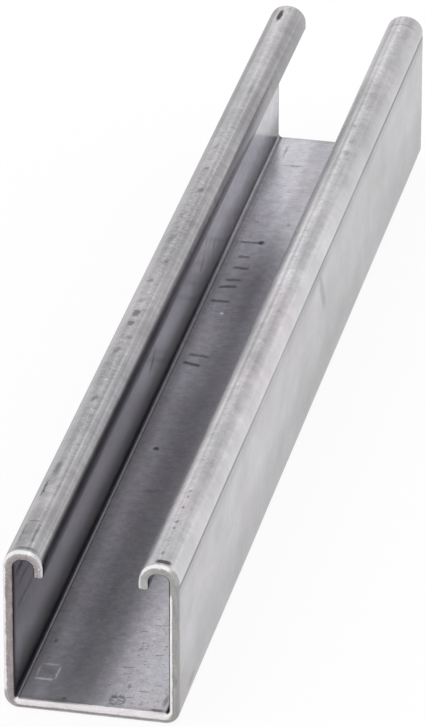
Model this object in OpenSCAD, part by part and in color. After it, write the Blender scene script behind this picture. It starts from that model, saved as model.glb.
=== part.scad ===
// Strut channel with a plain back: one steel strip, cold rolled into a C
// section with two hooked lips, and sawn to length. It lies on its back with
// its mouth up. X runs across the channel, Y along it and Z up from the back.

/* [Section] */
// Outside width across the two walls
channel_w = 41.3; // [36:0.1:60]
// Outside height from the back to the top of the lips
channel_h = 41.3; // [20:0.1:90]
// Thickness of the strip
strip_t = 2.5; // [1.5:0.1:3]
// Clear width of the mouth between the two lips
mouth_w = 22; // [12:0.1:24]
// How far each lip's edge hangs below the top of the channel
lip_drop = 6.3; // [5:0.1:12]

/* [Bends] */
// Inside radius of the bend between the back and a wall
back_bend_r = 1; // [0.3:0.1:4]
// Inside radius of the two bends that turn each lip over and down
lip_bend_r = 2; // [0.5:0.1:2.2]

/* [Length and edges] */
// Sawn length of the piece
channel_l = 305; // [60:1:3000]
// Radius that deburring left on the edges of the sawn ends
end_edge_r = 0.9; // [0.1:0.05:1.1]
// Radius on the slit edges of the strip, at the foot of each lip
slit_edge_r = 0.4; // [0.1:0.05:0.7]

/* [Hidden] */
$fn = 64;

// Flat that is left between two rounded edges of the strip
least_flat = 0.2;
edge_r = min(end_edge_r, (strip_t - least_flat) / 2);
slit_r = min(slit_edge_r, (strip_t - least_flat) / 2);

// The strip as the rolls leave it: runs of flat between the bends
lip_w = (channel_w - mouth_w) / 2;
hook_r = min(lip_bend_r, (lip_w - least_flat) / 2 - strip_t);
back_run = channel_w - 2 * (back_bend_r + strip_t);
wall_run = channel_h - (back_bend_r + strip_t) - (hook_r + strip_t);
top_run = lip_w - 2 * (hook_r + strip_t);
lip_run = max(lip_drop - (hook_r + strip_t), slit_r + least_flat);

// The strip is always drawn with its thickness along X, from the inside face
// at 0 to the outside face, its sawn length along Y, and its run along Z.

// Outline of the strip across its run, with the sawn ends' edges rounded
module strip_outline() {
    for (end = [-1, 1], x = [edge_r, strip_t - edge_r])
        translate([x, end * (channel_l / 2 - edge_r)]) circle(r = edge_r);
    translate([strip_t / 2, 0]) square([strip_t, channel_l - 2 * edge_r], center = true);
    translate([strip_t / 2, 0]) square([strip_t - 2 * edge_r, channel_l], center = true);
}

// Flat stretch of the strip, with what follows it at its far end
module flat(run) {
    linear_extrude(run) strip_outline();
    translate([0, 0, run]) children();
}

// Quarter turn towards the inside face, with what follows it at its far end
module bend(inside_r) {
    translate([-inside_r, 0, 0]) {
        rotate([90, 0, 0]) rotate_extrude(angle = 90) translate([inside_r, 0]) strip_outline();
        translate([0, 0, inside_r]) rotate([0, -90, 0]) children();
    }
}

// Profile of the lip's last stretch, seen along the channel, with the slit
// edges of the strip rounded
module lip_end_profile(run) {
    square([strip_t, run - slit_r]);
    translate([slit_r, 0]) square([strip_t - 2 * slit_r, run]);
    for (x = [slit_r, strip_t - slit_r])
        translate([x, run - slit_r]) circle(r = slit_r);
}

// Last stretch of the lip, down to its slit edge
module lip_end(run) {
    intersection() {
        linear_extrude(run) strip_outline();
        rotate([90, 0, 0]) linear_extrude(channel_l, center = true) lip_end_profile(run);
    }
}

// Half of the channel from the edge of the back to the foot of the lip
module side() {
    bend(back_bend_r) flat(wall_run) bend(hook_r) flat(top_run) bend(hook_r) lip_end(lip_run);
}

module strut_channel() {
    color([0.66, 0.66, 0.67]) translate([0, 0, strip_t]) {
        translate([-back_run / 2, 0, 0]) rotate([0, 90, 0]) flat(back_run);
        for (hand = [0, 1])
            mirror([hand, 0, 0]) translate([back_run / 2, 0, 0]) rotate([0, 90, 0]) side();
    }
}

strut_channel();
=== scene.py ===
"""Looks of a plain-back steel strut channel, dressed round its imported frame.

The channel is one rolled strip.  Its mesh is swept from the strip's own
coordinates: the run across the section, the length, and the depth through the
strip's thickness.  The finish is written in the same coordinates, so that roll
lines, scuffs and stains follow the steel round its bends.
"""

import logging
import math
from collections.abc import Callable, Iterable, Sequence
from dataclasses import dataclass
from enum import Enum
from functools import partial

import bpy
import numpy as np
from mathutils import Matrix, Vector, noise


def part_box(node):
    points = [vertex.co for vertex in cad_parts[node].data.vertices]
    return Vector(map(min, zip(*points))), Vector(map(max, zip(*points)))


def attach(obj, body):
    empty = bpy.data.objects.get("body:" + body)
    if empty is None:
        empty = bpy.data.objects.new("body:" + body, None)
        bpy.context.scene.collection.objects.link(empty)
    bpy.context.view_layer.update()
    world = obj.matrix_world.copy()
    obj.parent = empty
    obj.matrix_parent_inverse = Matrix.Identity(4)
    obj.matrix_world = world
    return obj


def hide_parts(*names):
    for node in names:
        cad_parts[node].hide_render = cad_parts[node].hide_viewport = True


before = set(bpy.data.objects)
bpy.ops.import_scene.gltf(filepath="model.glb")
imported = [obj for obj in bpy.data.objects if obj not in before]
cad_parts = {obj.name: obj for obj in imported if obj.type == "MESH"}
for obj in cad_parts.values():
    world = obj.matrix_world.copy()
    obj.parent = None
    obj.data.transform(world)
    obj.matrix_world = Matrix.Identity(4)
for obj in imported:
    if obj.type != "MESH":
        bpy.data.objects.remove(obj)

MM = 0.001
LOG = logging.getLogger("strut_channel")
Socket = bpy.types.NodeSocket
Value = float | Sequence[float] | Socket
Colour = tuple[float, float, float]

# Rings on a slit edge's rounding, and beside the crease, as shares of their sizes.
SLIT_RINGS = (0.03, 0.13, 0.29, 0.5, 0.74, 1.0)
CREASE_RINGS = (-2.0, -1.0, -0.5, 0.0, 0.5, 1.0, 2.0)


# ---- the section


class Leg(Enum):
    """What the strip does on one stretch of the section."""

    FLAT = "flat"
    BEND = "bend"


class Face(Enum):
    """Faces of the channel that marks are placed on."""

    BACK_INSIDE = "inside of the back"
    WALL_INSIDE = "inside of a wall"
    WALL_OUTSIDE = "outside of a wall"
    LIP_TOP = "rounded top of a lip"


@dataclass(frozen=True)
class Stations:
    """Places along the section's run where the mesh has a ring.

    Attributes:
        run: Distance along the middle of the strip from the back's mid line.
        inside: Points (x, z) of the strip's inside face.
        outward: Unit directions (x, z) from the inside face to the outside.
        inset: How far the slit edges' rounding draws both faces in.
    """

    run: np.ndarray
    inside: np.ndarray
    outward: np.ndarray
    inset: np.ndarray


@dataclass(frozen=True)
class Section:
    """C section of the channel, as the rolls leave it, in metres."""

    width: float
    height: float
    strip_t: float = 2.5 * MM
    mouth_w: float = 22.0 * MM
    lip_drop: float = 6.3 * MM
    back_bend_r: float = 1.0 * MM
    lip_bend_r: float = 2.0 * MM
    slit_edge_r: float = 0.4 * MM

    def legs(self) -> tuple[tuple[Leg, float], ...]:
        """Half of the section, from the middle of the back to a lip's foot.

        Returns:
            Each stretch with its length, or its inside radius for a bend.
        """
        back_r = self.back_bend_r + self.strip_t
        hook_r = self.lip_bend_r + self.strip_t
        lip_w = (self.width - self.mouth_w) / 2
        return (
            (Leg.FLAT, self.width / 2 - back_r),
            (Leg.BEND, self.back_bend_r),
            (Leg.FLAT, self.height - back_r - hook_r),
            (Leg.BEND, self.lip_bend_r),
            (Leg.FLAT, lip_w - 2 * hook_r),
            (Leg.BEND, self.lip_bend_r),
            (Leg.FLAT, self.lip_drop - hook_r),
        )

    def leg_run(self, leg: Leg, size: float) -> float:
        """Length of one stretch, measured along the middle of the strip."""
        return size if leg is Leg.FLAT else (size + self.strip_t / 2) * math.pi / 2

    def joints(self) -> list[float]:
        """Runs of the places where one stretch meets the next, from 0 to the foot."""
        lengths = [self.leg_run(leg, size) for leg, size in self.legs()]
        return [0.0, *np.cumsum(lengths).tolist()]

    def joints_mm(self) -> list[float]:
        """The same runs in millimetres."""
        return [run / MM for run in self.joints()]

    def spot(self, run: float) -> tuple[np.ndarray, float]:
        """Place on the inside face of the right half of the section.

        Args:
            run: Distance along the middle of the strip from the back's mid line.

        Returns:
            The inside point, and the strip's heading there in radians.
        """
        point, heading, rest = np.array([0.0, self.strip_t]), 0.0, run
        for leg, size in self.legs():
            length = self.leg_run(leg, size)
            share = min(1.0, max(0.0, rest / length))
            if leg is Leg.FLAT:
                point = point + ahead_of(heading) * size * share
            else:
                pivot = point - outward_of(heading) * size
                heading += share * math.pi / 2
                point = pivot + outward_of(heading) * size
            rest -= length
        return point, heading

    def stations(self, pitch: float, turn_steps: int, extra: Iterable[float] = ()) -> Stations:
        """Rings of the whole section, from the left lip's foot to the right's.

        Args:
            pitch: Largest spacing of the rings on a flat.
            turn_steps: Number of steps in each quarter turn.
            extra: Runs that get a ring of their own.

        Returns:
            The rings, left to right.
        """
        joints = self.joints()
        runs = {0.0, *extra}
        for (leg, size), start, end in zip(self.legs(), joints, joints[1:]):
            steps = turn_steps if leg is Leg.BEND else max(2, math.ceil(size / pitch))
            runs.update(np.linspace(start, end, steps + 1)[1:].tolist())
        runs.update(joints[-1] - self.slit_edge_r * share for share in SLIT_RINGS)
        half_run = np.array(sorted(runs))
        spots = [self.spot(run) for run in half_run]
        inside = np.array([point for point, _ in spots])
        outward = np.array([outward_of(heading) for _, heading in spots])
        gap = np.clip(self.slit_edge_r - (joints[-1] - half_run), 0, None)
        inset = self.slit_edge_r - np.sqrt(np.clip(self.slit_edge_r**2 - gap**2, 0, None))
        flip = np.array([-1.0, 1.0])
        return Stations(
            run=np.concatenate([-half_run[:0:-1], half_run]),
            inside=np.concatenate([inside[:0:-1] * flip, inside]),
            outward=np.concatenate([outward[:0:-1] * flip, outward]),
            inset=np.concatenate([inset[:0:-1], inset]),
        )

    def run_at(self, face: Face, across: float) -> float:
        """Run of a point that is given on one of the channel's faces.

        Args:
            face: The face that the point is on.
            across: Distance from the middle of the channel, or for a wall the
                height over the floor; negative on the left-hand side.

        Returns:
            The point's run, negative on the left-hand side.
        """
        if face is Face.BACK_INSIDE:
            return across
        joints = self.joints()
        side, place = math.copysign(1.0, across), abs(across)
        if face in (Face.WALL_INSIDE, Face.WALL_OUTSIDE):
            return side * (joints[2] + place - self.back_bend_r - self.strip_t)
        reach, per_radian = self.lip_bend_r + self.strip_t, (joints[4] - joints[3]) / (math.pi / 2)
        outer, inner = self.width / 2 - reach, self.mouth_w / 2 + reach
        if place > outer:
            return side * (joints[3] + per_radian * math.acos(min(1.0, (place - outer) / reach)))
        return side * (joints[5] + per_radian * math.asin(min(1.0, max(0.0, inner - place) / reach)))


def ahead_of(heading: float) -> np.ndarray:
    """Direction of the run, for a heading in radians."""
    return np.array([math.cos(heading), math.sin(heading)])


def outward_of(heading: float) -> np.ndarray:
    """Direction from the inside face to the outside, for a heading in radians."""
    return np.array([math.sin(heading), -math.cos(heading)])


@dataclass(frozen=True)
class SawnOutline:
    """Outline of the strip along its length, with the sawn ends' edges rounded."""

    length: float
    strip_t: float
    edge_r: float = 0.9 * MM
    end_zoom: float = 3.0

    def half_loop(self, pitch: float, turn_steps: int) -> np.ndarray:
        """Outside half of the outline, from the near end's middle to the far's.

        Args:
            pitch: Largest spacing of the points along the length.
            turn_steps: Number of steps in each rounded edge.

        Returns:
            Rows of depth from the inside face and place along the length.
        """
        half, centre = self.length / 2, self.strip_t - self.edge_r
        rows = [(self.strip_t / 2, -half)]
        for angle in np.linspace(-math.pi / 2, 0, turn_steps + 1):
            across, ahead = ahead_of(angle) * self.edge_r
            rows.append((centre + across, -half + self.edge_r + ahead))
        rows += [(depth, -along) for depth, along in rows[::-1]]
        run = half - self.edge_r
        steps = math.ceil(2 * run / pitch)
        middle = [(self.strip_t, along) for along in np.linspace(-run, run, steps + 1)[1:-1]]
        ends = len(rows) // 2
        return np.array(rows[:ends] + middle + rows[ends:])

    def chart(self, half_loop: np.ndarray) -> np.ndarray:
        """Place of each point along the unrolled half, from 0 to 1.

        The sawn ends are drawn larger than the faces, because they are small.

        Args:
            half_loop: Outside half of the outline.

        Returns:
            The place of each of its points.
        """
        steps = np.linalg.norm(np.diff(half_loop, axis=0), axis=1)
        at_end = np.abs(half_loop[:, 1]) > self.length / 2 - self.edge_r * 1.01
        steps *= np.where(at_end[1:] & at_end[:-1], self.end_zoom, 1.0)
        place = np.concatenate([[0.0], np.cumsum(steps)])
        return place / place[-1]


# ---- node work


class Graph:
    """Short-hand for laying out the nodes of one material or world."""

    def __init__(self, tree: bpy.types.NodeTree) -> None:
        """Empties the tree and keeps it."""
        self.tree = tree
        tree.nodes.clear()

    def add(
        self, kind: str, inputs: dict[str | int, Value] | None = None, **settings: object
    ) -> bpy.types.Node:
        """Adds a node.

        Args:
            kind: The node's type, without its ShaderNode prefix.
            inputs: Values or links for its inputs, by name or index.
            **settings: Properties of the node itself.

        Returns:
            The new node.
        """
        node = self.tree.nodes.new(f"ShaderNode{kind}")
        for name, setting in settings.items():
            setattr(node, name, setting)
        for key, value in (inputs or {}).items():
            if isinstance(value, Socket):
                self.tree.links.new(value, node.inputs[key])
            else:
                node.inputs[key].default_value = value
        return node

    def math(self, operation: str, first: Value, second: Value = 0.0, clamp: bool = False) -> Socket:
        """Result of one arithmetic step."""
        return self.add("Math", {0: first, 1: second}, operation=operation, use_clamp=clamp).outputs[0]

    def less(self, first: Value, second: Value) -> Socket:
        """First value less the second."""
        return self.math("SUBTRACT", first, second)

    def apart(self, first: Value, second: Value) -> Socket:
        """How far two values lie from each other."""
        return self.math("ABSOLUTE", self.less(first, second))

    def product(self, first: Value, *others: Value) -> Socket:
        """Product of two or more values."""
        for other in others:
            first = self.math("MULTIPLY", first, other)
        return first

    def total(self, first: Value, *others: Value) -> Socket:
        """Sum of two or more values."""
        for other in others:
            first = self.math("ADD", first, other)
        return first

    def rest(self, share: Socket) -> Socket:
        """What a share leaves of one."""
        return self.less(1.0, share)

    def span(
        self, value: Socket, low: float, high: float, to_low: float = 0.0, to_high: float = 1.0
    ) -> Socket:
        """Value eased from one range into another, and held at its ends.

        Args:
            value: The value.
            low: Value that gives to_low.
            high: Value that gives to_high; it may lie under low.
            to_low: First result.
            to_high: Last result.

        Returns:
            The eased value.
        """
        inputs = {"Value": value, "From Min": low, "From Max": high, "To Min": to_low, "To Max": to_high}
        return self.add("MapRange", inputs, interpolation_type="SMOOTHSTEP").outputs[0]

    def swing(self, value: Socket, size: Value) -> Socket:
        """Factor round 1 that follows a value from 0 to 1, with the given full swing."""
        return self.total(self.product(self.less(value, 0.5), size), 1.0)

    def towards(self, share: Socket, shade: float) -> Socket:
        """Factor that goes from 1 to a shade as a share goes from 0 to 1."""
        return self.total(self.product(share, shade - 1.0), 1.0)

    def shades(self, only: Socket, *pairs: tuple[Socket, float]) -> Socket:
        """Factor of several shades together.

        Args:
            only: Where the shades count at all, from 0 to 1.
            *pairs: Share of each shade, and the shade.

        Returns:
            The factor at each point, 1 where only is 0.
        """
        first, *others = pairs
        factor = self.towards(*first)
        for pair in others:
            factor = self.product(factor, self.towards(*pair))
        return self.total(self.product(self.less(factor, 1.0), only), 1.0)

    def window(self, value: Socket, rise: tuple[float, float], fall: tuple[float, float]) -> Socket:
        """1 between a rise and a fall, each eased from its first place to its second."""
        return self.product(self.span(value, *rise), self.span(value, fall[1], fall[0]))

    def between(self, value: Socket, low: float, high: float, soft: float) -> Socket:
        """1 where a value lies from low to high, easing to 0 over a soft rim."""
        return self.window(value, (low - soft, low + soft), (high - soft, high + soft))

    def blend(self, share: Value, first: Value, second: Value) -> Socket:
        """Two colours mixed by a share.

        Args:
            share: How much of the second colour to take, from 0 to 1.
            first: Colour, or a link to one.
            second: The other colour.

        Returns:
            The mixed colour.
        """
        node = self.add("Mix", data_type="RGBA")
        for index, value in ((0, share), (6, first), (7, second)):
            if isinstance(value, Socket):
                self.tree.links.new(value, node.inputs[index])
            elif index:
                node.inputs[index].default_value = (*value, 1.0)
            else:
                node.inputs[index].default_value = value
        return node.outputs[2]

    def shaded(self, colour: Socket, factor: Socket) -> Socket:
        """Colour made darker or lighter by a factor."""
        return self.add("VectorMath", {0: colour, "Scale": factor}, operation="SCALE").outputs[0]

    def tinted(self, colour: Socket, tint: Socket) -> Socket:
        """Colour multiplied by a tint."""
        return self.add("VectorMath", {0: colour, 1: tint}, operation="MULTIPLY").outputs[0]

    def scaled(self, vector: Socket, factors: Sequence[float], shift: Sequence[float] = (0, 0, 0)) -> Socket:
        """Vector multiplied by three factors, then shifted."""
        return self.add("Mapping", {"Vector": vector, "Scale": factors, "Location": shift}).outputs[0]

    def grain(self, vector: Socket, factors: Sequence[float], detail: float, rough: float) -> Socket:
        """Fractal noise.

        Args:
            vector: Coordinates in millimetres.
            factors: Number of its waves per millimetre each way.
            detail: Number of finer layers.
            rough: Strength of each layer against the one before.

        Returns:
            Values from 0 to 1.
        """
        spread = self.scaled(vector, factors)
        inputs = {"Vector": spread, "Scale": 1.0, "Detail": detail, "Roughness": rough}
        return self.add("TexNoise", inputs).outputs["Fac"]

    def specks(self, vector: Socket, factors: Sequence[float], size: float, share: float) -> Socket:
        """Scattered spots.

        Args:
            vector: Coordinates in millimetres.
            factors: Number of spots' cells per millimetre each way.
            size: Radius of a spot, as a share of its cell.
            share: How many of the cells have a spot.

        Returns:
            1 in the middle of a spot, easing to 0 at its rim.
        """
        cells = self.add("TexVoronoi", {"Vector": self.scaled(vector, factors), "Scale": 1.0})
        pick = self.add("SeparateColor", {0: cells.outputs["Color"]}).outputs[0]
        radius = self.total(self.product(self.span(pick, 1.0 - share, 1.0), size), 1e-4)
        return self.math("SUBTRACT", 1.0, self.math("DIVIDE", cells.outputs["Distance"], radius), True)


@dataclass(frozen=True)
class Strip:
    """Strip coordinates inside a material, in millimetres.

    Attributes:
        graph: The material's nodes.
        section: The channel's section.
        place: Run, length and depth together.
        run: Distance across the section from the back's mid line.
        reach: The run without its sign.
        along: Distance from the middle of the length.
        depth: Distance from the strip's inside face.
        end_gap: Distance from the nearer sawn end.
        inside: 1 on the inside face and 0 on the outside.
    """

    graph: Graph
    section: Section
    place: Socket
    run: Socket
    reach: Socket
    along: Socket
    depth: Socket
    end_gap: Socket
    inside: Socket

    @classmethod
    def read(cls, graph: Graph, section: Section, outline: SawnOutline) -> "Strip":
        """Strip coordinates from the mesh.

        Args:
            graph: The material's nodes.
            section: The channel's section.
            outline: The strip's outline along its length.

        Returns:
            The coordinates' sockets.
        """
        stored = graph.add("Attribute", attribute_name="strip_mm", attribute_type="GEOMETRY")
        place = stored.outputs["Vector"]
        run, along, depth = graph.add("SeparateXYZ", {0: place}).outputs
        middle = section.strip_t / 2 / MM
        return cls(
            graph=graph,
            section=section,
            place=place,
            run=run,
            reach=graph.math("ABSOLUTE", run),
            along=along,
            depth=depth,
            end_gap=graph.less(outline.length / 2 / MM, graph.math("ABSOLUTE", along)),
            inside=graph.span(depth, middle + 0.3, middle - 0.3),
        )

    def run_at(self, face: Face, across: float) -> float:
        """Run of a point that is given on one of the channel's faces."""
        return self.section.run_at(face, across * MM) / MM

    def outside(self) -> Socket:
        """1 on the outside face and 0 on the inside."""
        return self.graph.rest(self.inside)

    def on_lip(self) -> Socket:
        """1 on the outside faces of the lips."""
        head = self.section.joints_mm()[3]
        return self.graph.product(self.graph.span(self.reach, head + 1.8, head + 3.4), self.outside())


# ---- the marks


class Tone(Enum):
    """What a mark does to the steel's colour."""

    DARK = -1.0
    LIGHT = 1.0


class Kind(Enum):
    """How a mark is filled."""

    SOFT_RIM = "even, with a soft rim"
    BAR = "even, with square ends"
    RING = "only its rim"
    SCUFF = "broken into fine wandering lines"
    PITTED = "broken into small pits"


@dataclass(frozen=True)
class MarkGrain:
    """Unevenness that all the marks share.

    Attributes:
        place: The strip's coordinates, shifted so that no rim is a clean curve.
        run: Their run alone.
        along: Their length alone.
        wander: Noise whose middle value draws wandering lines.
        pits: Small pits, spread all over.
    """

    place: Socket
    run: Socket
    along: Socket
    wander: Socket
    pits: Socket

    @classmethod
    def spread(cls, strip: Strip) -> "MarkGrain":
        """Makes the unevenness for one material.

        Args:
            strip: The strip's coordinates.

        Returns:
            The shifted coordinates and the noises.
        """
        graph = strip.graph
        drift = graph.add("TexNoise", {"Vector": strip.place, "Scale": 1.3, "Detail": 2.0})
        shift = graph.scaled(drift.outputs["Color"], (0.8, 0.8, 0.0), (-0.4, -0.4, 0.0))
        place = graph.add("VectorMath", {0: strip.place, 1: shift}, operation="ADD").outputs[0]
        run, along, _ = graph.add("SeparateXYZ", {0: place}).outputs
        return cls(
            place=place,
            run=run,
            along=along,
            wander=graph.grain(strip.place, (0.55, 0.75, 0.4), 2.0, 0.6),
            pits=graph.specks(strip.place, (0.9, 1.3, 0.6), 0.4, 0.55),
        )


@dataclass(frozen=True)
class Mark:
    """Stain, scuff or stroke on one face, or a painted shade or highlight, in millimetres.

    Attributes:
        face: The face that it is on.
        across: Its middle, from the channel's mid line or as a wall's height.
        along: Its middle, from the channel's mid length.
        width: Its full size across the run.
        length: Its full size along the channel.
        depth: How much it darkens or lightens, from 0 to 1.
        tilt: Turn of its long side, in degrees.
        soft: Share of its radius over which it fades.
        tone: Whether it is darker or lighter than the steel.
        kind: How it is filled.
    """

    face: Face
    across: float
    along: float
    width: float
    length: float
    depth: float = 0.3
    tilt: float = 0.0
    soft: float = 0.7
    tone: Tone = Tone.DARK
    kind: Kind = Kind.SOFT_RIM

    @classmethod
    def makers(cls, face: Face) -> tuple[Callable[..., "Mark"], ...]:
        """Makers of each kind of mark on one face, in the order of the kinds."""
        return tuple(partial(cls, face, kind=kind) for kind in Kind)

    def factor(self, strip: Strip, grain: MarkGrain) -> Socket:
        """What the mark multiplies the steel's colour by.

        Args:
            strip: The strip's coordinates.
            grain: Unevenness that all the marks share.

        Returns:
            The factor at each point, 1 outside the mark.
        """
        share = self._square(strip, grain) if self.kind is Kind.BAR else self._round(strip, grain)
        return strip.graph.total(strip.graph.product(share, self.depth * self.tone.value), 1.0)

    def _is_outside(self) -> bool:
        """Whether the mark is on an outside face."""
        return self.face in (Face.WALL_OUTSIDE, Face.LIP_TOP)

    def _square(self, strip: Strip, grain: MarkGrain) -> Socket:
        """Share of a mark with square ends, which a tilt leans along the length.

        Args:
            strip: The strip's coordinates.
            grain: Unevenness that all the marks share.

        Returns:
            1 in the mark, easing to 0 at its edges.
        """
        graph = strip.graph
        off_run = graph.less(grain.run, strip.run_at(self.face, self.across))
        off_along = graph.less(grain.along, self.along)
        if self.tilt:
            off_along = graph.total(off_along, graph.product(off_run, -math.tan(math.radians(self.tilt))))
        share = strip.outside() if self._is_outside() else strip.inside
        for off, half in ((off_run, self.width / 2), (off_along, self.length / 2)):
            far = graph.math("ABSOLUTE", off)
            share = graph.product(share, graph.span(far, half, half * (1 - self.soft)))
        return share

    def _round(self, strip: Strip, grain: MarkGrain) -> Socket:
        """Share of a mark with a round outline, filled as its kind says.

        Args:
            strip: The strip's coordinates.
            grain: Unevenness that all the marks share.

        Returns:
            1 where it is fullest, easing to 0 at its rim.
        """
        graph = strip.graph
        depth = strip.section.strip_t / MM if self._is_outside() else 0.0
        inputs = {
            "Vector": grain.place,
            "Location": (strip.run_at(self.face, self.across), self.along, depth),
            "Rotation": (0.0, 0.0, math.radians(self.tilt)),
            "Scale": (self.width / 2, self.length / 2, 1.2),
        }
        local = graph.add("Mapping", inputs, vector_type="TEXTURE").outputs[0]
        inward = graph.add("TexGradient", {"Vector": local}, gradient_type="SPHERICAL").outputs["Fac"]
        if self.kind is Kind.RING:
            return graph.product(graph.span(inward, 0.02, 0.12), graph.span(inward, 0.36, 0.2))
        share = graph.span(inward, 0.0, self.soft)
        if self.kind is Kind.SCUFF:
            share = graph.product(share, graph.span(graph.apart(grain.wander, 0.5), 0.06, 0.015))
        if self.kind is Kind.PITTED:
            share = graph.product(share, grain.pits)
        return share


@dataclass(frozen=True)
class StraightLine:
    """Straight line along one outside face, in millimetres: on the lips a line that a roll left, on the
    walls painted shade along the crease.

    Attributes:
        face: The face that it is on.
        across: Its place, from the channel's mid line or as a wall's height.
        width: Its full width.
        depth: How much it darkens or lightens, from 0 to 1.
        tone: Whether it is darker or lighter than the steel.
    """

    face: Face
    across: float
    width: float
    depth: float
    tone: Tone = Tone.DARK

    def factor(self, strip: Strip, waver: Socket) -> Socket:
        """What the line multiplies the steel's colour by.

        Args:
            strip: The strip's coordinates.
            waver: Noise along the length that makes the line fade in and out.

        Returns:
            The factor at each point, 1 away from the line.
        """
        graph = strip.graph
        away = graph.apart(strip.run, strip.run_at(self.face, self.across))
        share = graph.product(graph.span(away, self.width / 2, 0.0), graph.span(waver, 0.3, 0.6, 0.4, 1.0))
        share = graph.product(share, strip.outside())
        return graph.total(graph.product(share, self.depth * self.tone.value), 1.0)


class Wear:
    """Marks of handling and rolling on this length of channel, with painted shade along the walls' creases
    and a few painted marks among them.
    """

    CREASE_Z = 36.0
    DOTS_ALONG = (-146.0, -134.0, -131.0, -124.0, -119.0, -116.0)
    CHATTER_ALONG = (-85.0, -76.0, -51.0, -44.0, -24.0, -13.0, -2.5, 10.7, 24.5, 38.0, 51.0, 64.0)

    def straight_lines(self) -> list[StraightLine]:
        """Lines that the rolls left on the lips, and painted shade along the walls' creases.

        Returns:
            The lines along the walls, then those along the lips.
        """
        wall, lip = partial(StraightLine, Face.WALL_OUTSIDE), partial(StraightLine, Face.LIP_TOP)
        lines = []
        for side in (-1, 1):
            lines += [
                # Painted shade in the wall's crease, and a wider, fainter painted shade just under it.
                wall(side * self.CREASE_Z, 2.1, 0.52),
                wall(side * (self.CREASE_Z - 1.8), 5.0, 0.11),
                lip(side * 18.6, 0.8, 0.05),
                lip(side * 17.3, 2.2, 0.08),
                lip(side * 15.7, 1.0, 0.08, Tone.LIGHT),
                lip(side * 14.7, 0.7, 0.16),
                lip(side * 14.0, 0.8, 0.12, Tone.LIGHT),
                lip(side * 13.2, 0.9, 0.14),
                lip(side * 12.0, 0.7, 0.12, Tone.LIGHT),
            ]
        lines += [
            lip(-19.6, 0.8, 0.20),
            lip(-17.0, 1.8, 0.10),
            lip(-15.2, 0.9, 0.12),
            lip(-13.8, 0.6, 0.16),
            lip(15.6, 3.8, 0.16, Tone.LIGHT),
        ]
        return lines

    def back_marks(self) -> list[Mark]:
        """Marks on the inside of the back.

        Returns:
            Stains and scuffs with some painted shade and a painted glint, plain strokes of ink, and a row of
            short dashes.
        """
        soft_mark, bar, ring, scuff, pits = Mark.makers(Face.BACK_INSIDE)
        stains = [
            scuff(5.2, -147.6, 5.0, 7.0, 0.75, 20.0),
            ring(5.2, -148.4, 4.2, 4.6, 0.35),
            soft_mark(6.6, -141.5, 1.4, 3.0, 0.35),
            soft_mark(-7.0, -150.0, 1.8, 1.8, 0.5),
            soft_mark(-14.8, -124.5, 1.2, 2.2, 0.45),
            bar(-11.0, -138.8, 0.7, 7.4, 0.9, 0.0, 0.5, Tone.LIGHT),
            bar(-13.6, -142.2, 5.4, 1.3, 0.9, 0.0, 0.5, Tone.LIGHT),
            bar(-13.3, -135.4, 4.8, 1.1, 0.5, 0.0, 0.5, Tone.LIGHT),
            bar(-15.6, -139.0, 0.7, 5.4, 0.5, 0.0, 0.5, Tone.LIGHT),
            soft_mark(-13.4, -138.5, 5.0, 6.0, 0.16),
            soft_mark(15.0, -150.8, 5.0, 1.8, 0.55),
            soft_mark(16.2, -146.0, 1.6, 9.0, 0.4),
            pits(11.0, -130.0, 17.0, 56.0, 0.7, soft=0.35),
            pits(-6.0, -112.0, 22.0, 78.0, 0.45, soft=0.5),
            pits(10.5, -116.0, 8.0, 15.0, 0.5),
            scuff(6.0, -123.0, 4.0, 6.0, 0.35),
            scuff(10.0, -110.5, 5.0, 6.0, 0.4),
            soft_mark(12.6, -117.5, 1.3, 1.8, 0.5),
            pits(-0.5, -70.0, 16.0, 80.0, 0.35),
            # Two wide, soft dark marks: painted shade over the left half of the back's inside.
            soft_mark(-8.0, -10.0, 18.0, 110.0, 0.17, soft=0.9),
            soft_mark(-9.0, 62.0, 19.0, 90.0, 0.30, soft=0.9),
            soft_mark(-12.3, -27.5, 1.9, 2.4, 0.7, soft=0.5),
            ring(-11.5, -27.5, 5.0, 5.0, 0.08, tone=Tone.LIGHT),
            soft_mark(-9.0, -49.0, 9.0, 2.4, 0.2, 8.0),
            # A painted highlight: a small bright glint.
            soft_mark(-11.6, 47.0, 1.3, 1.8, 1.5, tone=Tone.LIGHT, soft=0.6),
            soft_mark(-5.0, 100.0, 1.4, 2.4, 0.3),
            soft_mark(-13.5, 100.0, 1.4, 2.2, 0.3),
            soft_mark(-10.5, 135.0, 6.0, 1.2, 0.4, 4.0),
            soft_mark(-14.5, 143.5, 0.9, 10.0, 0.4),
        ]
        strokes = [
            bar(-13.4, 18.2, 5.6, 1.9, 0.62, -14.0, 0.4),
            bar(-12.4, 23.0, 6.4, 1.7, 0.5, -6.0, 0.4),
            bar(-13.5, 53.6, 6.0, 1.8, 0.5, 4.0, 0.4),
            bar(-13.2, 62.0, 5.4, 1.9, 0.55, 12.0, 0.4),
            bar(-12.6, 66.0, 5.0, 1.7, 0.5, 4.0, 0.4),
            bar(-12.0, 73.0, 5.0, 1.9, 0.5, -6.0, 0.4),
            bar(-12.6, 79.5, 3.6, 1.7, 0.45, 5.0, 0.4),
            bar(-13.0, 88.0, 6.0, 1.5, 0.5, 3.0, 0.4),
            soft_mark(-9.9, 88.4, 2.1, 3.0, 0.75, soft=0.5),
        ]
        dashes = [
            soft_mark(4.5 + 2.9 * (spot % 5), -150.0 + 3.4 * spot, 2.6 + 0.5 * (spot % 3), 0.7, 0.4, 6.0, 0.6)
            for spot in range(14)
        ]
        return stains + strokes + dashes

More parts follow.
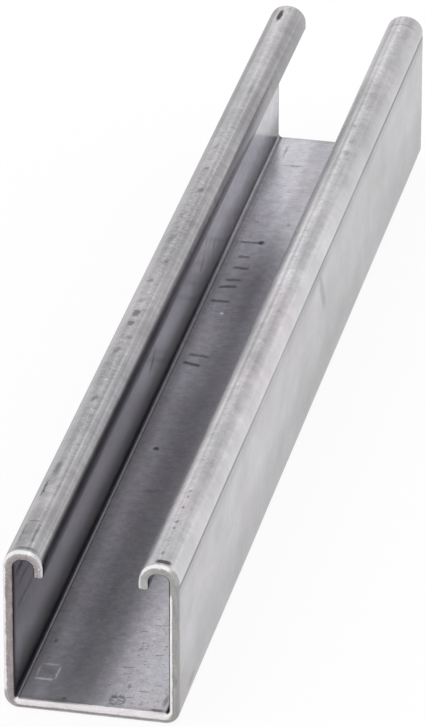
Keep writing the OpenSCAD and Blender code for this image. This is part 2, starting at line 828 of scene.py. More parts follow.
    def lip_marks(self) -> list[Mark]:
        """Marks on the lips' tops.

        Returns:
            Stains and scuffs, a row of dots, and the chatter of a roll.
        """
        soft_mark, bar, _, scuff, pits = Mark.makers(Face.LIP_TOP)
        marks = [
            bar(16.4, -150.0, 3.4, 1.8, 0.75, soft=0.35),
            pits(15.4, -136.0, 3.4, 26.0, 0.55),
            pits(14.6, -90.0, 3.2, 84.0, 0.5),
            soft_mark(15.8, -36.0, 7.4, 60.0, 0.22, soft=0.8),
            soft_mark(13.4, 85.0, 4.8, 170.0, 0.12, soft=0.9),
            soft_mark(17.0, 20.0, 3.4, 60.0, 0.10),
            soft_mark(16.2, 67.0, 2.0, 4.5, 0.25),
            soft_mark(16.2, 74.0, 1.6, 3.0, 0.25),
            soft_mark(15.5, 83.0, 1.4, 2.0, 0.3),
            bar(15.0, 146.4, 8.0, 1.2, 0.2, soft=0.5),
            bar(-15.6, -150.3, 5.6, 1.8, 0.5, soft=0.8),
            bar(-16.4, -144.0, 3.4, 12.0, 0.12, soft=0.2),
            bar(-18.0, -143.5, 0.6, 13.0, 0.3),
            bar(-14.9, -143.5, 0.5, 12.0, 0.3),
            bar(-16.4, -137.4, 3.2, 1.0, 0.3),
            soft_mark(-15.5, -127.0, 5.0, 11.0, 0.10, tone=Tone.LIGHT),
            bar(-18.0, -121.0, 0.7, 10.0, 0.6),
            bar(-16.6, -121.5, 1.8, 6.0, 0.22, tone=Tone.LIGHT),
            bar(-17.2, -111.5, 1.7, 9.0, 0.35),
            soft_mark(-14.6, -115.0, 1.2, 30.0, 0.12),
            soft_mark(-16.8, 145.5, 1.3, 9.0, 0.8, soft=0.5),
            soft_mark(-15.0, 100.0, 1.4, 14.0, 0.15),
            pits(-16.4, 0.0, 4.4, 240.0, 0.38, soft=0.3),
            bar(-16.4, -36.4, 1.6, 3.0, 0.45, 8.0, 0.5),
            bar(-16.2, -31.0, 1.7, 4.2, 0.5, 8.0, 0.5),
            scuff(-16.2, -70.0, 4.4, 90.0, 0.15, soft=0.6),
            scuff(-16.0, 30.0, 4.8, 130.0, 0.2, soft=0.6),
        ]
        marks += [soft_mark(16.0, along, 0.8, 1.9, 0.5) for along in self.DOTS_ALONG]
        for spot, along in enumerate(self.CHATTER_ALONG):
            across, length = -16.0 - 0.35 * (spot % 3), 3.0 + 0.9 * (spot * 2 % 5)
            marks.append(soft_mark(across, along, 1.8, length, 0.2 + 0.07 * (spot * 3 % 4), 14.0, 0.9))
        return marks

    def wall_marks(self) -> list[Mark]:
        """Smudges on the walls.

        Returns:
            Those on the outside, then those on the inside.
        """
        outer = Mark.makers(Face.WALL_OUTSIDE)[0]
        inner = Mark.makers(Face.WALL_INSIDE)[0]
        return [
            outer(28.0, 15.0, 18.0, 5.0, 0.2, -32.0, soft=0.5),
            outer(34.5, 8.0, 3.0, 40.0, 0.1),
            outer(5.0, -139.0, 3.0, 12.0, 0.16),
            outer(-18.0, -60.0, 20.0, 9.0, 0.12, 25.0),
            inner(-14.5, -5.0, 2.6, 12.0, 0.5, 25.0),
            inner(-11.5, 44.0, 2.4, 8.0, 0.25, 20.0),
            inner(-12.5, 54.0, 3.0, 8.0, 0.25, 20.0),
            inner(-11.0, 68.0, 2.4, 7.0, 0.25, 20.0),
            inner(-33.5, -145.0, 2.2, 14.0, 0.5, -4.0),
            inner(-29.5, -142.0, 1.4, 18.0, 0.4, -3.0),
            inner(-24.0, -140.0, 1.6, 22.0, 0.25, -3.0),
        ]

    def marks(self) -> list[Mark]:
        """All the marks."""
        return self.back_marks() + self.lip_marks() + self.wall_marks()


# ---- the finish


@dataclass(frozen=True)
class EndBand:
    """Band of one tone along the cut faces, in millimetres.

    Attributes:
        start: Run at which it begins.
        stop: Run at which it ends.
        low: Depth from the inside face at which it begins.
        high: Depth from the inside face at which it ends.
        colour: Its colour.
        strength: How far it covers what is under it, from 0 to 1.
        soft: Half of the width over which its long edges fade.
    """

    start: float
    stop: float
    low: float
    high: float
    colour: Colour
    strength: float = 1.0
    soft: float = 0.14

    def share(self, strip: Strip, depth: Socket) -> Socket:
        """How far the band covers each point.

        Args:
            strip: The strip's coordinates.
            depth: The strip's depth, made uneven.

        Returns:
            The share of the band's colour.
        """
        graph = strip.graph
        along_run = graph.between(strip.run, self.start, self.stop, 0.7)
        return graph.product(along_run, graph.between(depth, self.low, self.high, self.soft), self.strength)


@dataclass(frozen=True)
class SawnEnds:
    """Finish of the two cut faces: saw-dulled steel with painted highlights on the edges that face up and
    left, and painted shade on some that face right.

    Attributes:
        left: Colour of the cut on the left.
        right: Colour of the cut on the right.
        highlight_and_flecks: Colour of the painted highlights on the cut edges that face up and left, and of
            the flecks on the cut of the left lip.
        back_cut_highlight: Colour of the painted highlight on the upper half of the back's cut.
        edge_shade: Dark brown colour of the painted shade on the left wall's inner cut edge, and of a thin
            line beside the painted highlight on the right wall's cut.
        worn: Colour of edges that are dull and half cleaned.
        scored: Colour of the saw's line across the back.
        outer_right: Colour of the right wall's outside edge.
        foot_cut: Colour of the cut at the right lip's foot.
    """

    left: Colour = (0.345, 0.300, 0.310)
    right: Colour = (0.36, 0.355, 0.345)
    highlight_and_flecks: Colour = (0.88, 0.865, 0.875)
    back_cut_highlight: Colour = (0.80, 0.765, 0.785)
    edge_shade: Colour = (0.15, 0.115, 0.11)
    worn: Colour = (0.48, 0.47, 0.47)
    scored: Colour = (0.22, 0.19, 0.21)
    outer_right: Colour = (0.37, 0.36, 0.355)
    foot_cut: Colour = (0.48, 0.47, 0.465)

    def bands(self, section: Section) -> list[EndBand]:
        """Bands of the cut faces.

        Args:
            section: The channel's section.

        Returns:
            The bands, each laid over those before it.
        """
        _, foot, wall, head, crest, crest_end, flange, tip = section.joints_mm()
        rim = section.strip_t / MM + 0.5
        # Bands in the bright colours are painted highlights, on the cut edges that face up and left and on
        # the upper half of the back's cut; the dark brown bands are painted shade.
        return [
            EndBand(-tip - 1, -head, 1.2, rim, self.worn, 0.45, 0.4),
            EndBand(-tip - 1, -head + 2, 1.95, rim, self.highlight_and_flecks, 1.0, 0.2),
            EndBand(-tip - 1, -crest_end - 1.6, 1.4, rim, self.worn, 0.6, 0.4),
            EndBand(-head, -wall - 1, 1.75, rim, self.highlight_and_flecks, 0.9, 0.2),
            EndBand(-crest, -foot, -1.0, 0.35, self.edge_shade, 0.5),
            EndBand(-wall - 1, -foot - 0.5, 1.5, rim, self.worn, 0.7, 0.3),
            EndBand(-foot, foot + 1, 1.5, 1.75, self.scored, 0.6, 0.12),
            EndBand(-foot, foot + 1, 1.9, rim, self.worn, 0.75, 0.12),
            EndBand(-foot - 0.6, foot + 1.5, -1.0, 1.28, self.back_cut_highlight),
            EndBand(-foot - 1.4, -foot + 1.2, -1.0, 0.8, self.highlight_and_flecks, 1.0, 0.3),
            EndBand(foot, head - 3.0, -1.0, 0.9, self.highlight_and_flecks),
            EndBand(foot + 1, head - 3.0, 1.02, 1.15, self.edge_shade, 0.45, 0.1),
            EndBand(foot + 1, head + 2.6, 2.0, rim, self.outer_right, 0.9, 0.15),
            EndBand(head, tip + 1, 1.5, rim, self.worn, 0.5, 0.4),
            EndBand(head + 3.2, tip + 1, 1.95, rim, self.highlight_and_flecks, 1.0, 0.2),
            EndBand(flange - 1, tip + 1, -1.0, 1.6, self.foot_cut, 0.6, 0.4),
        ]

    def colour(self, strip: Strip, fine: Socket, uneven: Socket, waver: Socket) -> Socket:
        """Colour of the cut faces.

        Args:
            strip: The strip's coordinates.
            fine: Fine noise.
            uneven: Coarser noise.
            waver: Both, as a shift in millimetres that keeps edges from being straight.

        Returns:
            The colour, to be laid over the skin.
        """
        graph = strip.graph
        _, foot, *_, flange, tip = strip.section.joints_mm()
        near = graph.span(strip.along, 1.0, -1.0, 0.35, 1.0)
        depth = graph.total(strip.depth, waver)
        sawn = graph.blend(graph.span(strip.run, -foot, foot), self.left, self.right)
        sawn = graph.shaded(sawn, graph.product(graph.swing(fine, 0.5), graph.swing(uneven, 0.7)))
        for band in self.bands(strip.section):
            sawn = graph.blend(graph.product(band.share(strip, depth), near), sawn, band.colour)
        streaks = graph.grain(strip.place, (0.30, 0.5, 2.6), 3.0, 0.6)
        sawn = graph.shaded(sawn, graph.product(graph.swing(streaks, 0.45), graph.swing(fine, 0.2)))
        flecks = graph.specks(strip.place, (1.6, 1.0, 1.6), 0.45, 0.5)
        torn = graph.product(graph.between(strip.run, -tip - 1, -flange + 3.0, 1.0), flecks, near)
        return graph.blend(torn, sawn, self.highlight_and_flecks)


@dataclass(frozen=True)
class MillSteel:
    """Satin mill-finished strip: roll lines, scuffs and stains, with painted light and shade on its faces
    and on its sawn ends' edges.

    Attributes:
        name: The material's name.
        outer: Colour of the outside faces.
        inner: Colour of the inside faces, under an oily film.
        warm: Tint of the patches where the film of oil looks warm.
        cool: Tint of the patches where it looks cool.
        wall: Shade of the walls' outsides against the lips.
        left_lip: Shade of the left lip against the right one.
        left_slope: Shade of the left lip where it turns down to the mouth.
        far_flank: Shade of the lips beside their crests towards the far end.
        right_far: Shade of the right lip's turn to the mouth towards the far end.
        left_far: Shade of the left lip's crest towards the far end.
        mouth_face: Painted shade on the lips' faces towards the mouth.
        brow: Painted highlight on the bends between the walls and the lips.
        left_brow: Shade of the left one of these bends against the right, laid over its painted highlight.
        far_brow: Shade of the same bends towards the far end, laid over their painted highlight.
        skirt: Painted shade on the walls' outsides near the floor.
        corner: Painted shade in the corners at the back.
        seam: Painted light on the bends at the back where they meet the walls.
        ridge: Painted shade on the same bends where they meet the back.
        wall_shade: Painted shade that deepens down the walls' insides.
        hook_inside: Painted light on the inside of the right lip.
        far_web: Painted shade on the back's inside towards the far end.
        left_web: Painted light on the back's inside on the left.
        left_edge: Painted light on the back's inside close to its left corner.
        left_far_edge: Painted light on the same strip towards the far end.
        wall_inside: Shade of the walls' insides against the back's.
        near_wall: Shade of the walls' insides towards the near end.
        near_cut: Shade of the inside faces close to the sawn ends.
        glint: Painted highlight: the thin light line beside the back's left corner.
        gloss_low: Roughness where the roll lines are brightest.
        gloss_high: Roughness between the roll lines.
        grain_rough: What the fine grain adds to the roughness.
        grain_bump: Strength of the grain's relief.
        grain_height: Height of the grain's relief, in metres.
        edge_keep: Share of the stains and painted shade that glancing light doesn't show.
        left_film: How matt the film is that covers the left of the back's inside.
        lip_film: How matt the right lip is where it turns down to the mouth.
    """

    name: str = "rolled_strip_steel"
    outer: Colour = (0.475, 0.467, 0.483)
    inner: Colour = (0.478, 0.472, 0.508)
    warm: Colour = (1.018, 0.988, 0.997)
    cool: Colour = (0.986, 1.0, 1.01)
    wall: float = 0.945
    left_lip: float = 0.94
    left_slope: float = 0.88
    far_flank: float = 0.86
    right_far: float = 1.02
    left_far: float = 1.25
    mouth_face: float = 0.95
    brow: float = 1.32
    left_brow: float = 0.70
    far_brow: float = 0.87
    skirt: float = 0.86
    corner: float = 0.74
    seam: float = 1.2
    ridge: float = 0.60
    wall_shade: float = 0.29
    hook_inside: float = 1.8
    far_web: float = 0.93
    left_web: float = 1.03
    left_edge: float = 1.12
    left_far_edge: float = 1.28
    wall_inside: float = 1.06
    near_wall: float = 0.78
    near_cut: float = 0.8
    glint: float = 1.06
    gloss_low: float = 0.225
    gloss_high: float = 0.25
    grain_rough: float = 0.02
    grain_bump: float = 0.18
    grain_height: float = 0.1 * MM
    edge_keep: float = 0.4
    left_film: float = 0.35
    lip_film: float = 0.45

    def material(self, section: Section, outline: SawnOutline, wear: Wear) -> bpy.types.Material:
        """Builds the material.

        Args:
            section: The channel's section.
            outline: The strip's outline along its length.
            wear: Marks on the skin.

        Returns:
            The finished material.
        """
        material = bpy.data.materials.new(self.name)
        material.use_nodes = True
        graph = Graph(material.node_tree)
        strip = Strip.read(graph, section, outline)
        fine = graph.grain(strip.place, (2.2, 1.3, 3.0), 3.0, 0.6)
        lines = graph.grain(strip.place, (1.1, 0.012, 3.0), 4.0, 0.65)

        # Painted light and shade of the faces, multiplied by the marks, roll lines and painted crease shade.
        painted_light_and_marks = graph.product(self._outside_shade(strip), self._inside_shade(strip))
        painted_light_and_marks = graph.product(painted_light_and_marks, self._marked(strip, wear, lines))
        skin, relief = self._skin(strip, fine, lines)
        skin = graph.shaded(skin, painted_light_and_marks)
        colour = self._ended(strip, skin, fine)

        rolled = graph.span(lines, 0.3, 0.7, self.gloss_low, self.gloss_high)
        rough = graph.total(rolled, graph.product(fine, self.grain_rough))
        size = {"Strength": self.grain_bump, "Distance": self.grain_height}
        bump = graph.add("Bump", {**size, "Height": relief}).outputs[0]
        blotch = graph.grain(strip.place, (0.30, 0.16, 0.5), 4.0, 0.6)
        edge = graph.total(graph.product(painted_light_and_marks, 1.0 - self.edge_keep), self.edge_keep)
        edge = graph.product(edge, graph.swing(blotch, graph.product(strip.inside, 0.45)))
        edge = graph.math("MINIMUM", edge, 1.0)
        inputs = {"Base Color": colour, "Metallic": self._bare(strip), "Specular Tint": edge}
        shader = graph.add("BsdfPrincipled", {**inputs, "Roughness": rough, "Normal": bump})
        graph.add("OutputMaterial", {"Surface": shader.outputs[0]})
        return material

    def _bare(self, strip: Strip) -> Socket:
        """How bare of matt film the steel is.

        Args:
            strip: The strip's coordinates.

        Returns:
            1 where it is quite bare, and less under the film.
        """
        graph, joints = strip.graph, strip.section.joints_mm()
        foot, crest_end = joints[1], joints[5]
        turn = graph.product(strip.outside(), graph.span(strip.run, crest_end + 1.0, crest_end + 2.4))
        back = graph.product(strip.inside, graph.span(strip.reach, foot + 1.4, foot - 0.2))
        fading = graph.span(strip.along, 120.0, 20.0, 0.25, 1.0)
        film = graph.product(back, graph.span(strip.run, 6.0, -5.0), fading)
        return graph.total(graph.product(film, -self.left_film), graph.product(turn, -self.lip_film), 1.0)

    def _skin(self, strip: Strip, fine: Socket, lines: Socket) -> tuple[Socket, Socket]:
        """Colour and relief of the rolled faces, before the marks.

        Args:
            strip: The strip's coordinates.
            fine: Fine noise.
            lines: Noise drawn out along the length.

        Returns:
            The colour, and the height of its grain.
        """
        graph = strip.graph
        crest = strip.section.joints_mm()[4] + 0.3
        outside, lip = strip.outside(), strip.on_lip()

        haze = graph.grain(strip.place, (0.035, 0.016, 0.3), 2.0, 0.5)
        hue = graph.grain(strip.place, (0.06, 0.045, 0.5), 2.0, 0.5)
        cloud = graph.grain(strip.place, (0.11, 0.07, 0.5), 3.0, 0.55)
        mottle = graph.grain(strip.place, (0.5, 0.42, 0.6), 4.0, 0.65)
        cross = graph.grain(strip.place, (0.40, 1.7, 0.8), 3.0, 0.7)
        pits = graph.specks(strip.place, (0.55, 0.85, 0.6), 0.42, 0.35)
        dashes = graph.specks(strip.place, (0.45, 1.9, 0.6), 0.45, 0.3)
        flecks = graph.specks(strip.place, (1.3, 0.55, 0.6), 0.45, 0.4)

        lip_streak = graph.product(lip, graph.span(strip.run, 1.0, -1.0, 0.7, 0.85))
        streak = graph.total(lip_streak, graph.product(outside, 0.16))
        speckle = graph.product(lip, graph.span(graph.apart(strip.reach, crest), 2.2, 0.6))
        worn = graph.product(strip.inside, graph.span(strip.run, -2.0, 9.0, 0.45, 1.0))
        mottling = graph.total(graph.product(strip.inside, 0.40), graph.product(lip, 0.36), 0.27)
        fineness = graph.total(graph.product(speckle, 0.40), graph.product(worn, 0.5), 0.12)
        crossing = graph.product(strip.inside, graph.span(strip.run, 9.0, -2.0, 0.12, 0.5))
        pitting = graph.total(graph.product(worn, 0.40), graph.product(speckle, 0.35))
        shade = graph.product(
            graph.swing(haze, 0.45),
            graph.swing(cloud, graph.total(graph.product(strip.inside, -0.15), 0.55)),
            graph.swing(lines, streak),
            graph.swing(mottle, mottling),
            graph.swing(fine, fineness),
            graph.swing(cross, crossing),
            graph.rest(graph.product(pits, pitting)),
            graph.rest(graph.product(dashes, worn, 0.4)),
            graph.total(graph.product(flecks, speckle, 0.35), 1.0),
        )
        colour = graph.shaded(graph.blend(strip.inside, self.outer, self.inner), shade)
        colour = graph.tinted(colour, graph.blend(graph.span(hue, 0.35, 0.65), self.warm, self.cool))
        relief = graph.total(
            graph.product(lines, outside, 0.6),
            graph.product(fine, 0.3),
            graph.product(mottle, 0.2),
            graph.product(pits, -0.4),
        )
        return colour, relief

    def _outside_shade(self, strip: Strip) -> Socket:
        """Shade of the outside faces: painted shade on the skirts and on the lips' faces to the mouth,
        painted highlights on the brows, and the lips' own tones.

        Args:
            strip: The strip's coordinates.

        Returns:
            The factor at each point, 1 on the inside faces.
        """
        graph = strip.graph
        _, _, wall, head, _, crest_end, flange, _ = strip.section.joints_mm()
        lip = strip.on_lip()
        left = graph.math("LESS_THAN", strip.run, 0.0)
        far = graph.span(strip.along, -10.0, 120.0)
        slope = graph.span(strip.reach, crest_end + 0.4, crest_end + 1.6)
        # Painted shade on the lips' faces to the mouth and low on the walls, and a painted highlight on the
        # bends between the walls and the lips.
        face = graph.span(strip.reach, flange - 1.6, flange - 0.2)
        brow = graph.window(strip.reach, (head - 0.9, head - 0.5), (head + 2.2, head + 4.3))
        skirt = graph.span(strip.reach, wall + 17.0, wall + 4.0)
        far_lip = graph.product(lip, far)
        crest = graph.between(strip.reach, crest_end - 2.0, crest_end + 1.6, 0.6)
        return graph.shades(
            strip.outside(),
            (graph.rest(lip), self.wall),
            (graph.product(lip, left), self.left_lip),
            (graph.product(slope, left), self.left_slope),
            (face, self.mouth_face),
            (brow, self.brow),
            (graph.product(brow, left), self.left_brow),
            (graph.product(brow, far), self.far_brow),
            (skirt, self.skirt),
            (graph.product(far_lip, graph.rest(crest)), self.far_flank),
            (graph.product(far_lip, left, crest), self.left_far),
            (graph.product(far_lip, graph.rest(left), slope), self.right_far),
        )

    def _inside_shade(self, strip: Strip) -> Socket:
        """Shade of the inside faces: painted shade in the back's corners and down the walls, and painted
        light and shade on the back's bends, on its left side and inside the right lip.

        Args:
            strip: The strip's coordinates.

        Returns:
            The factor at each point, 1 on the outside faces.
        """
        graph = strip.graph
        _, foot, wall, head, *_ = strip.section.joints_mm()
        # Painted shade in the back's corners, painted light on the wall side of its bends and painted shade
        # on their back side, and a painted highlight line beside its left corner.
        corner_shade = graph.window(strip.reach, (foot - 0.1, foot + 0.5), (wall + 2.0, wall + 9.0))
        seam = graph.between(strip.reach, wall - 2.0, wall + 0.4, 0.6)
        ridge = graph.between(strip.reach, foot - 0.1, foot + 1.5, 0.3)
        on_left = graph.math("LESS_THAN", strip.run, 0.0)
        glint = graph.product(graph.between(strip.reach, foot - 1.8, foot - 1.3, 0.3), on_left)
        # Painted shade that deepens down the walls' insides, weaker towards the far end.
        film = graph.window(strip.reach, (foot, wall), (wall + 1.5, wall + 12.5))
        film = graph.product(film, graph.span(strip.along, 130.0, 20.0, 0.4, 1.0))
        # Painted light on the left of the back's inside: near its corner, towards the far end, and over its
        # left half.
        left_side = graph.window(strip.run, (-wall, -foot), (1.5 - foot, 8.0 - foot))
        left_side = graph.product(left_side, graph.span(strip.along, 60.0, -20.0, 0.3, 1.0))
        left_far = graph.between(strip.run, 1.0 - foot, 9.5 - foot, 2.0)
        left_far = graph.product(left_far, graph.span(strip.along, -40.0, 60.0))
        left_web = graph.window(strip.run, (-wall, -foot), (-4.5, 6.0))
        walls = graph.span(strip.reach, wall, wall + 1.0)
        return graph.shades(
            strip.inside,
            (corner_shade, self.corner),
            (seam, self.seam),
            (ridge, self.ridge),
            (glint, self.glint),
            (film, self.wall_shade),
            (graph.span(strip.end_gap, 3.0, 1.0), self.near_cut),
            # Painted shade on the back's inside towards the far end.
            (graph.span(strip.along, 50.0, 125.0), self.far_web),
            (left_side, self.left_edge),
            (left_far, self.left_far_edge),
            (walls, self.wall_inside),
            # Painted light on the inside of the right lip.
            (graph.span(strip.run, head, head + 2.0), self.hook_inside),
            (graph.product(walls, graph.span(strip.along, 60.0, -150.0)), self.near_wall),
            (left_web, self.left_web),
        )

    @staticmethod
    def _marked(strip: Strip, wear: Wear, lines: Socket) -> Socket:
        """Factor of all the marks, roll lines and painted crease shade together.

        Each is multiplied in as soon as it is made, so that few values wait at once.

        Args:
            strip: The strip's coordinates.
            wear: Marks on the skin.
            lines: Noise drawn out along the length.

        Returns:
            The factor at each point, 1 where there is no mark.
        """
        graph = strip.graph
        factor: Value = 1.0
        for line in wear.straight_lines():
            factor = graph.product(factor, line.factor(strip, lines))
        grain = MarkGrain.spread(strip)
        for mark in wear.marks():
            factor = graph.product(factor, mark.factor(strip, grain))
        return factor

    @staticmethod
    def _ended(strip: Strip, skin: Socket, fine: Socket) -> Socket:
        """Lays the sawn ends and their edges over the skin.

        Args:
            strip: The strip's coordinates.
            skin: Colour of the rolled faces.
            fine: Fine noise.

        Returns:
            The colour of the whole strip.
        """
        graph = strip.graph
        uneven = graph.grain(strip.place, (0.35, 0.35, 0.35), 3.0, 0.6)
        fine_part = graph.product(graph.less(fine, 0.5), 0.5)
        waver = graph.total(fine_part, graph.product(graph.less(uneven, 0.5), 0.6))
        gap = graph.total(strip.end_gap, waver)
        cut = SawnEnds().colour(strip, fine, uneven, waver)
        return graph.blend(graph.span(gap, 1.05, 0.8), skin, cut)


# ---- the channel


@dataclass(frozen=True)
class Relief:
    """Small unevenness of the rolled and sawn steel, in metres."""

    wave: float = 0.05 * MM
    crease: float = 0.055 * MM
    crease_half: float = 0.55 * MM
    nick: float = 0.12 * MM

    def lift(
        self, run: float, along: float, depth: float, section: Section, outline: SawnOutline
    ) -> float:
        """How far a point of the strip stands out from its ideal place.

        Args:
            run: Distance across the section from the back's mid line.
            along: Distance from the middle of the length.
            depth: Distance from the strip's inside face.
            section: The channel's section.
            outline: The strip's outline along its length.

        Returns:
            Distance towards the outside face.
        """
        lift = self.wave * noise.noise(Vector((run / MM * 0.05, along / MM * 0.02, 3.0)))
        share = depth / section.strip_t
        off = (abs(run) - section.run_at(Face.WALL_OUTSIDE, Wear.CREASE_Z * MM)) / self.crease_half
        lift -= self.crease * share * math.exp(-off * off)
        end_gap = outline.length / 2 - abs(along)
        if end_gap < 2 * outline.edge_r:
            spot = Vector((run / MM * 0.55, math.copysign(5.0, along), depth / MM))
            lift -= self.nick * max(0.0, noise.noise(spot) - 0.1) * (2 * share - 1)
        return lift


@dataclass(frozen=True)
class StrutChannel:
    """One rolled and sawn length of channel."""

    section: Section
    outline: SawnOutline
    finish: MillSteel = MillSteel()
    relief: Relief = Relief()
    run_pitch: float = 1.1 * MM
    along_pitch: float = 2.2 * MM
    turn_steps: int = 9
    edge_steps: int = 5
    chart_gap: float = 0.005
    chart_slit: float = 0.008

    @classmethod
    def from_node(cls, node: str) -> "StrutChannel":
        """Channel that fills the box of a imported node.

        Args:
            node: The node's name.

        Returns:
            The channel, not built yet.
        """
        low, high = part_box(node)
        size = high - low
        section = Section(size.x, size.z)
        return cls(section, SawnOutline(size.y, section.strip_t))

    def build(self, name: str, wear: Wear) -> bpy.types.Object:
        """Makes the channel's mesh and dresses it.

        Args:
            name: Name of the new object.
            wear: Marks on its faces.

        Returns:
            The channel, linked to the scene.
        """
        crease = self.section.run_at(Face.WALL_OUTSIDE, Wear.CREASE_Z * MM)
        close = [crease + self.relief.crease_half * share for share in CREASE_RINGS]
        stations = self.section.stations(self.run_pitch, self.turn_steps, close)
        half = self.outline.half_loop(self.along_pitch, self.edge_steps)
        other = half[-2:0:-1] * np.array([-1.0, 1.0]) + np.array([self.section.strip_t, 0.0])
        loop = np.concatenate([half, other])
        rings, places = len(stations.run), len(loop)

        depth = np.clip(
            np.broadcast_to(loop[:, 0], (rings, places)),
            stations.inset[:, None],
            self.section.strip_t - stations.inset[:, None],
        )
        run = np.broadcast_to(stations.run[:, None], depth.shape)
        along = np.broadcast_to(loop[:, 1], depth.shape)
        lift = np.vectorize(self.relief.lift)(run, along, depth, self.section, self.outline)
        points = np.empty((rings, places, 3))
        out = (depth + lift)[..., None]
        points[..., 0::2] = stations.inside[:, None, :] + stations.outward[:, None, :] * out
        points[..., 1] = along

        faces = self._faces(rings, len(half))
        mesh = bpy.data.meshes.new(name)
        mesh.from_pydata(points.reshape(-1, 3).tolist(), [], faces)
        strip = np.stack([run, along, depth], axis=-1) / MM
        mesh.attributes.new("strip_mm", "FLOAT_VECTOR", "POINT").data.foreach_set("vector", strip.ravel())
        self._unroll(mesh, stations, half, faces)
        mesh.polygons.foreach_set("use_smooth", [True] * len(mesh.polygons))
        mesh.materials.append(self.finish.material(self.section, self.outline, wear))
        mesh.update()
        channel = bpy.data.objects.new(name, mesh)
        bpy.context.scene.collection.objects.link(channel)
        return channel

    @staticmethod
    def _faces(rings: int, half: int) -> list[tuple[int, ...]]:
        """Faces of the swept strip, and of its two slit edges.

        Args:
            rings: Number of rings along the run.
            half: Number of points in half of a ring, both ends included.

        Returns:
            Corner numbers of each face, turned outwards.
        """
        places = 2 * half - 2
        faces: list[tuple[int, ...]] = []
        for ring in range(rings - 1):
            here, after = ring * places, (ring + 1) * places
            for place in range(places):
                step = (place + 1) % places
                faces.append((here + place, here + step, after + step, after + place))
        for ring, order in ((0, -1), (rings - 1, 1)):
            base = ring * places
            for place in range(half - 1):
                near_side = [base + place, base + place + 1]
                far_side = [base + places - place - 1, base + (places - place) % places]
                corners = list(dict.fromkeys(near_side + far_side))
                faces.append(tuple(corners[::order]))
        return faces

    def _unroll(
        self, mesh: bpy.types.Mesh, stations: Stations, half: np.ndarray, faces: Sequence[tuple[int, ...]]
    ) -> None:
        """Lays the strip out flat in a UV map: outside, inside, then the slit edges.

        Args:
            mesh: The channel's mesh.
            stations: Its rings.
            half: Outside half of the strip's outline.
            faces: The mesh's faces, in order.
        """
        gap, slit = self.chart_gap, self.chart_slit
        chart = self.outline.chart(half)
        width = (1 - 6 * gap - 2 * slit) / 2
        share = (stations.run - stations.run[0]) / (stations.run[-1] - stations.run[0])
        rings, last = len(share), len(half) - 1
        places = 2 * last
        swept = (rings - 1) * places
        rows: list[tuple[float, float]] = []
        for number, face in enumerate(faces):
            if number < swept:
                ring, place = divmod(number, places)
                outside = place < last
                left = gap if outside else 2 * gap + width
                for side, step in ((ring, 0), (ring, 1), (ring + 1, 1), (ring + 1, 0)):
                    up = chart[place + step if outside else places - place - step]
                    rows.append((left + width * share[side], gap + (1 - 2 * gap) * up))
            else:
                left = 3 * gap + 2 * width + (number - swept) // last * (slit + gap)
                for corner in face:
                    place = corner % places
                    outside = place <= last
                    up = chart[place if outside else places - place]
                    across = 0.5 if place in (0, last) else 1.0 if outside else 0.0
                    rows.append((left + slit * across, gap + (1 - 2 * gap) * up))
        mesh.uv_layers.new(name="OFBake").data.foreach_set("uv", np.array(rows).ravel())


# ---- the studio


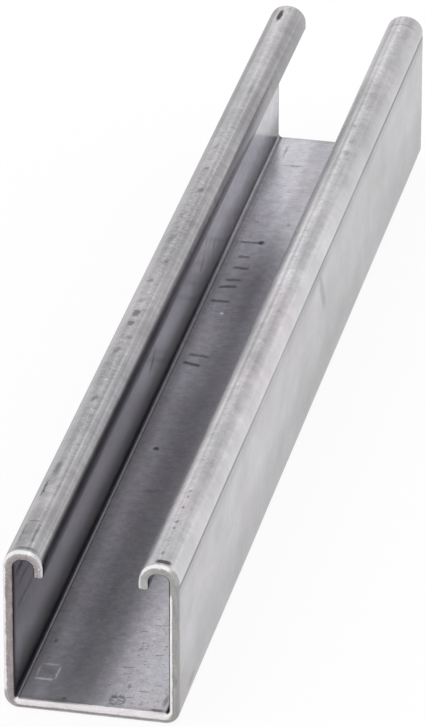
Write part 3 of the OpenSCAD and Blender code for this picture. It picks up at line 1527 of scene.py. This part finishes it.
@dataclass(frozen=True)
class Studio:
    """Camera, pale floor and soft light."""

    azimuth: float = 11.981
    elevation: float = 27.625
    roll: float = 0.081
    distance: float = 1.6947
    target: tuple[float, float, float] = (-0.00403, 0.0, 0.01297)
    lens: float = 338.24
    film_height: float = 36.0
    floor_half: float = 3.0
    floor_glow: float = 0.9
    paper: Colour = (0.85, 0.85, 0.85)
    white: Colour = (1.0, 1.0, 1.0)
    sky: float = 1.0

    def place_camera(self) -> bpy.types.Object:
        """Sets the camera and makes it the scene's.

        Returns:
            The camera.
        """
        turn, lift = math.radians(self.azimuth), math.radians(self.elevation)
        flat = math.cos(lift)
        back = Vector((math.sin(turn) * flat, -math.cos(turn) * flat, math.sin(lift)))
        right = Vector((math.cos(turn), math.sin(turn), 0.0))
        right.rotate(Matrix.Rotation(math.radians(self.roll), 3, back))
        up = back.cross(right)
        lens = bpy.data.cameras.new("camera")
        lens.sensor_fit = "VERTICAL"
        lens.sensor_height = self.film_height
        lens.lens = self.lens
        lens.clip_end = 20.0
        camera = bpy.data.objects.new("camera", lens)
        pose = Matrix((right, up, back)).transposed().to_4x4()
        pose.translation = Vector(self.target) + back * self.distance
        camera.matrix_world = pose
        bpy.context.scene.collection.objects.link(camera)
        bpy.context.scene.camera = camera
        return camera

    def lay_floor(self) -> bpy.types.Object:
        """Lays a plain white floor that keeps a faint shadow of the channel.

        Returns:
            The floor, which isn't part of the object.
        """
        half = self.floor_half
        corners = [(-half, -half, 0), (half, -half, 0), (half, half, 0), (-half, half, 0)]
        mesh = bpy.data.meshes.new("floor")
        mesh.from_pydata(corners, [], [(0, 1, 2, 3)])
        floor = bpy.data.objects.new("floor", mesh)
        bpy.context.scene.collection.objects.link(floor)
        material = bpy.data.materials.new("pale_floor")
        material.use_nodes = True
        graph = Graph(material.node_tree)
        seen = self._seen(graph)
        tone = graph.blend(seen, self.paper, self.white)
        paper = graph.add("BsdfDiffuse", {"Color": tone}).outputs[0]
        glow = graph.add("Emission", {"Color": (*self.white, 1.0), "Strength": 1.0}).outputs[0]
        surface = graph.add("MixShader", {0: graph.product(seen, self.floor_glow), 1: paper, 2: glow})
        graph.add("OutputMaterial", {"Surface": surface.outputs[0]})
        mesh.materials.append(material)
        return floor

    @staticmethod
    def _seen(graph: Graph) -> Socket:
        """Tells rays that show the floor from rays that only gather light.

        Args:
            graph: The floor's nodes.

        Returns:
            1 for rays of the camera, of reflections and of see-through parts.
        """
        path = graph.add("LightPath").outputs
        seen = graph.math("MAXIMUM", path["Is Camera Ray"], path["Is Glossy Ray"])
        return graph.math("MAXIMUM", seen, path["Is Transmission Ray"])

    def light(self) -> None:
        """Even white sky."""
        world = bpy.data.worlds.new("studio")
        world.use_nodes = True
        graph = Graph(world.node_tree)
        sky = graph.add("Background", {"Color": (*self.white, 1.0), "Strength": self.sky}).outputs[0]
        graph.add("OutputWorld", {"Surface": sky})
        bpy.context.scene.world = world

    def build(self) -> None:
        """Sets the whole studio."""
        self.place_camera()
        self.lay_floor()
        self.light()
        bpy.context.scene.view_settings.view_transform = "Standard"


def main() -> None:
    """Builds the channel and the studio, and reports each piece."""
    logging.basicConfig(level=logging.INFO, format="%(name)s: %(message)s")
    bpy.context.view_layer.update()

    channel = StrutChannel.from_node("strut_channel").build("channel_strip", Wear())
    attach(channel, "root")
    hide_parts("strut_channel")
    LOG.info("%s: %d faces", channel.name, len(channel.data.polygons))

    Studio().build()
    LOG.info("studio: camera, floor and sky")


if __name__ == "__main__":
    main()
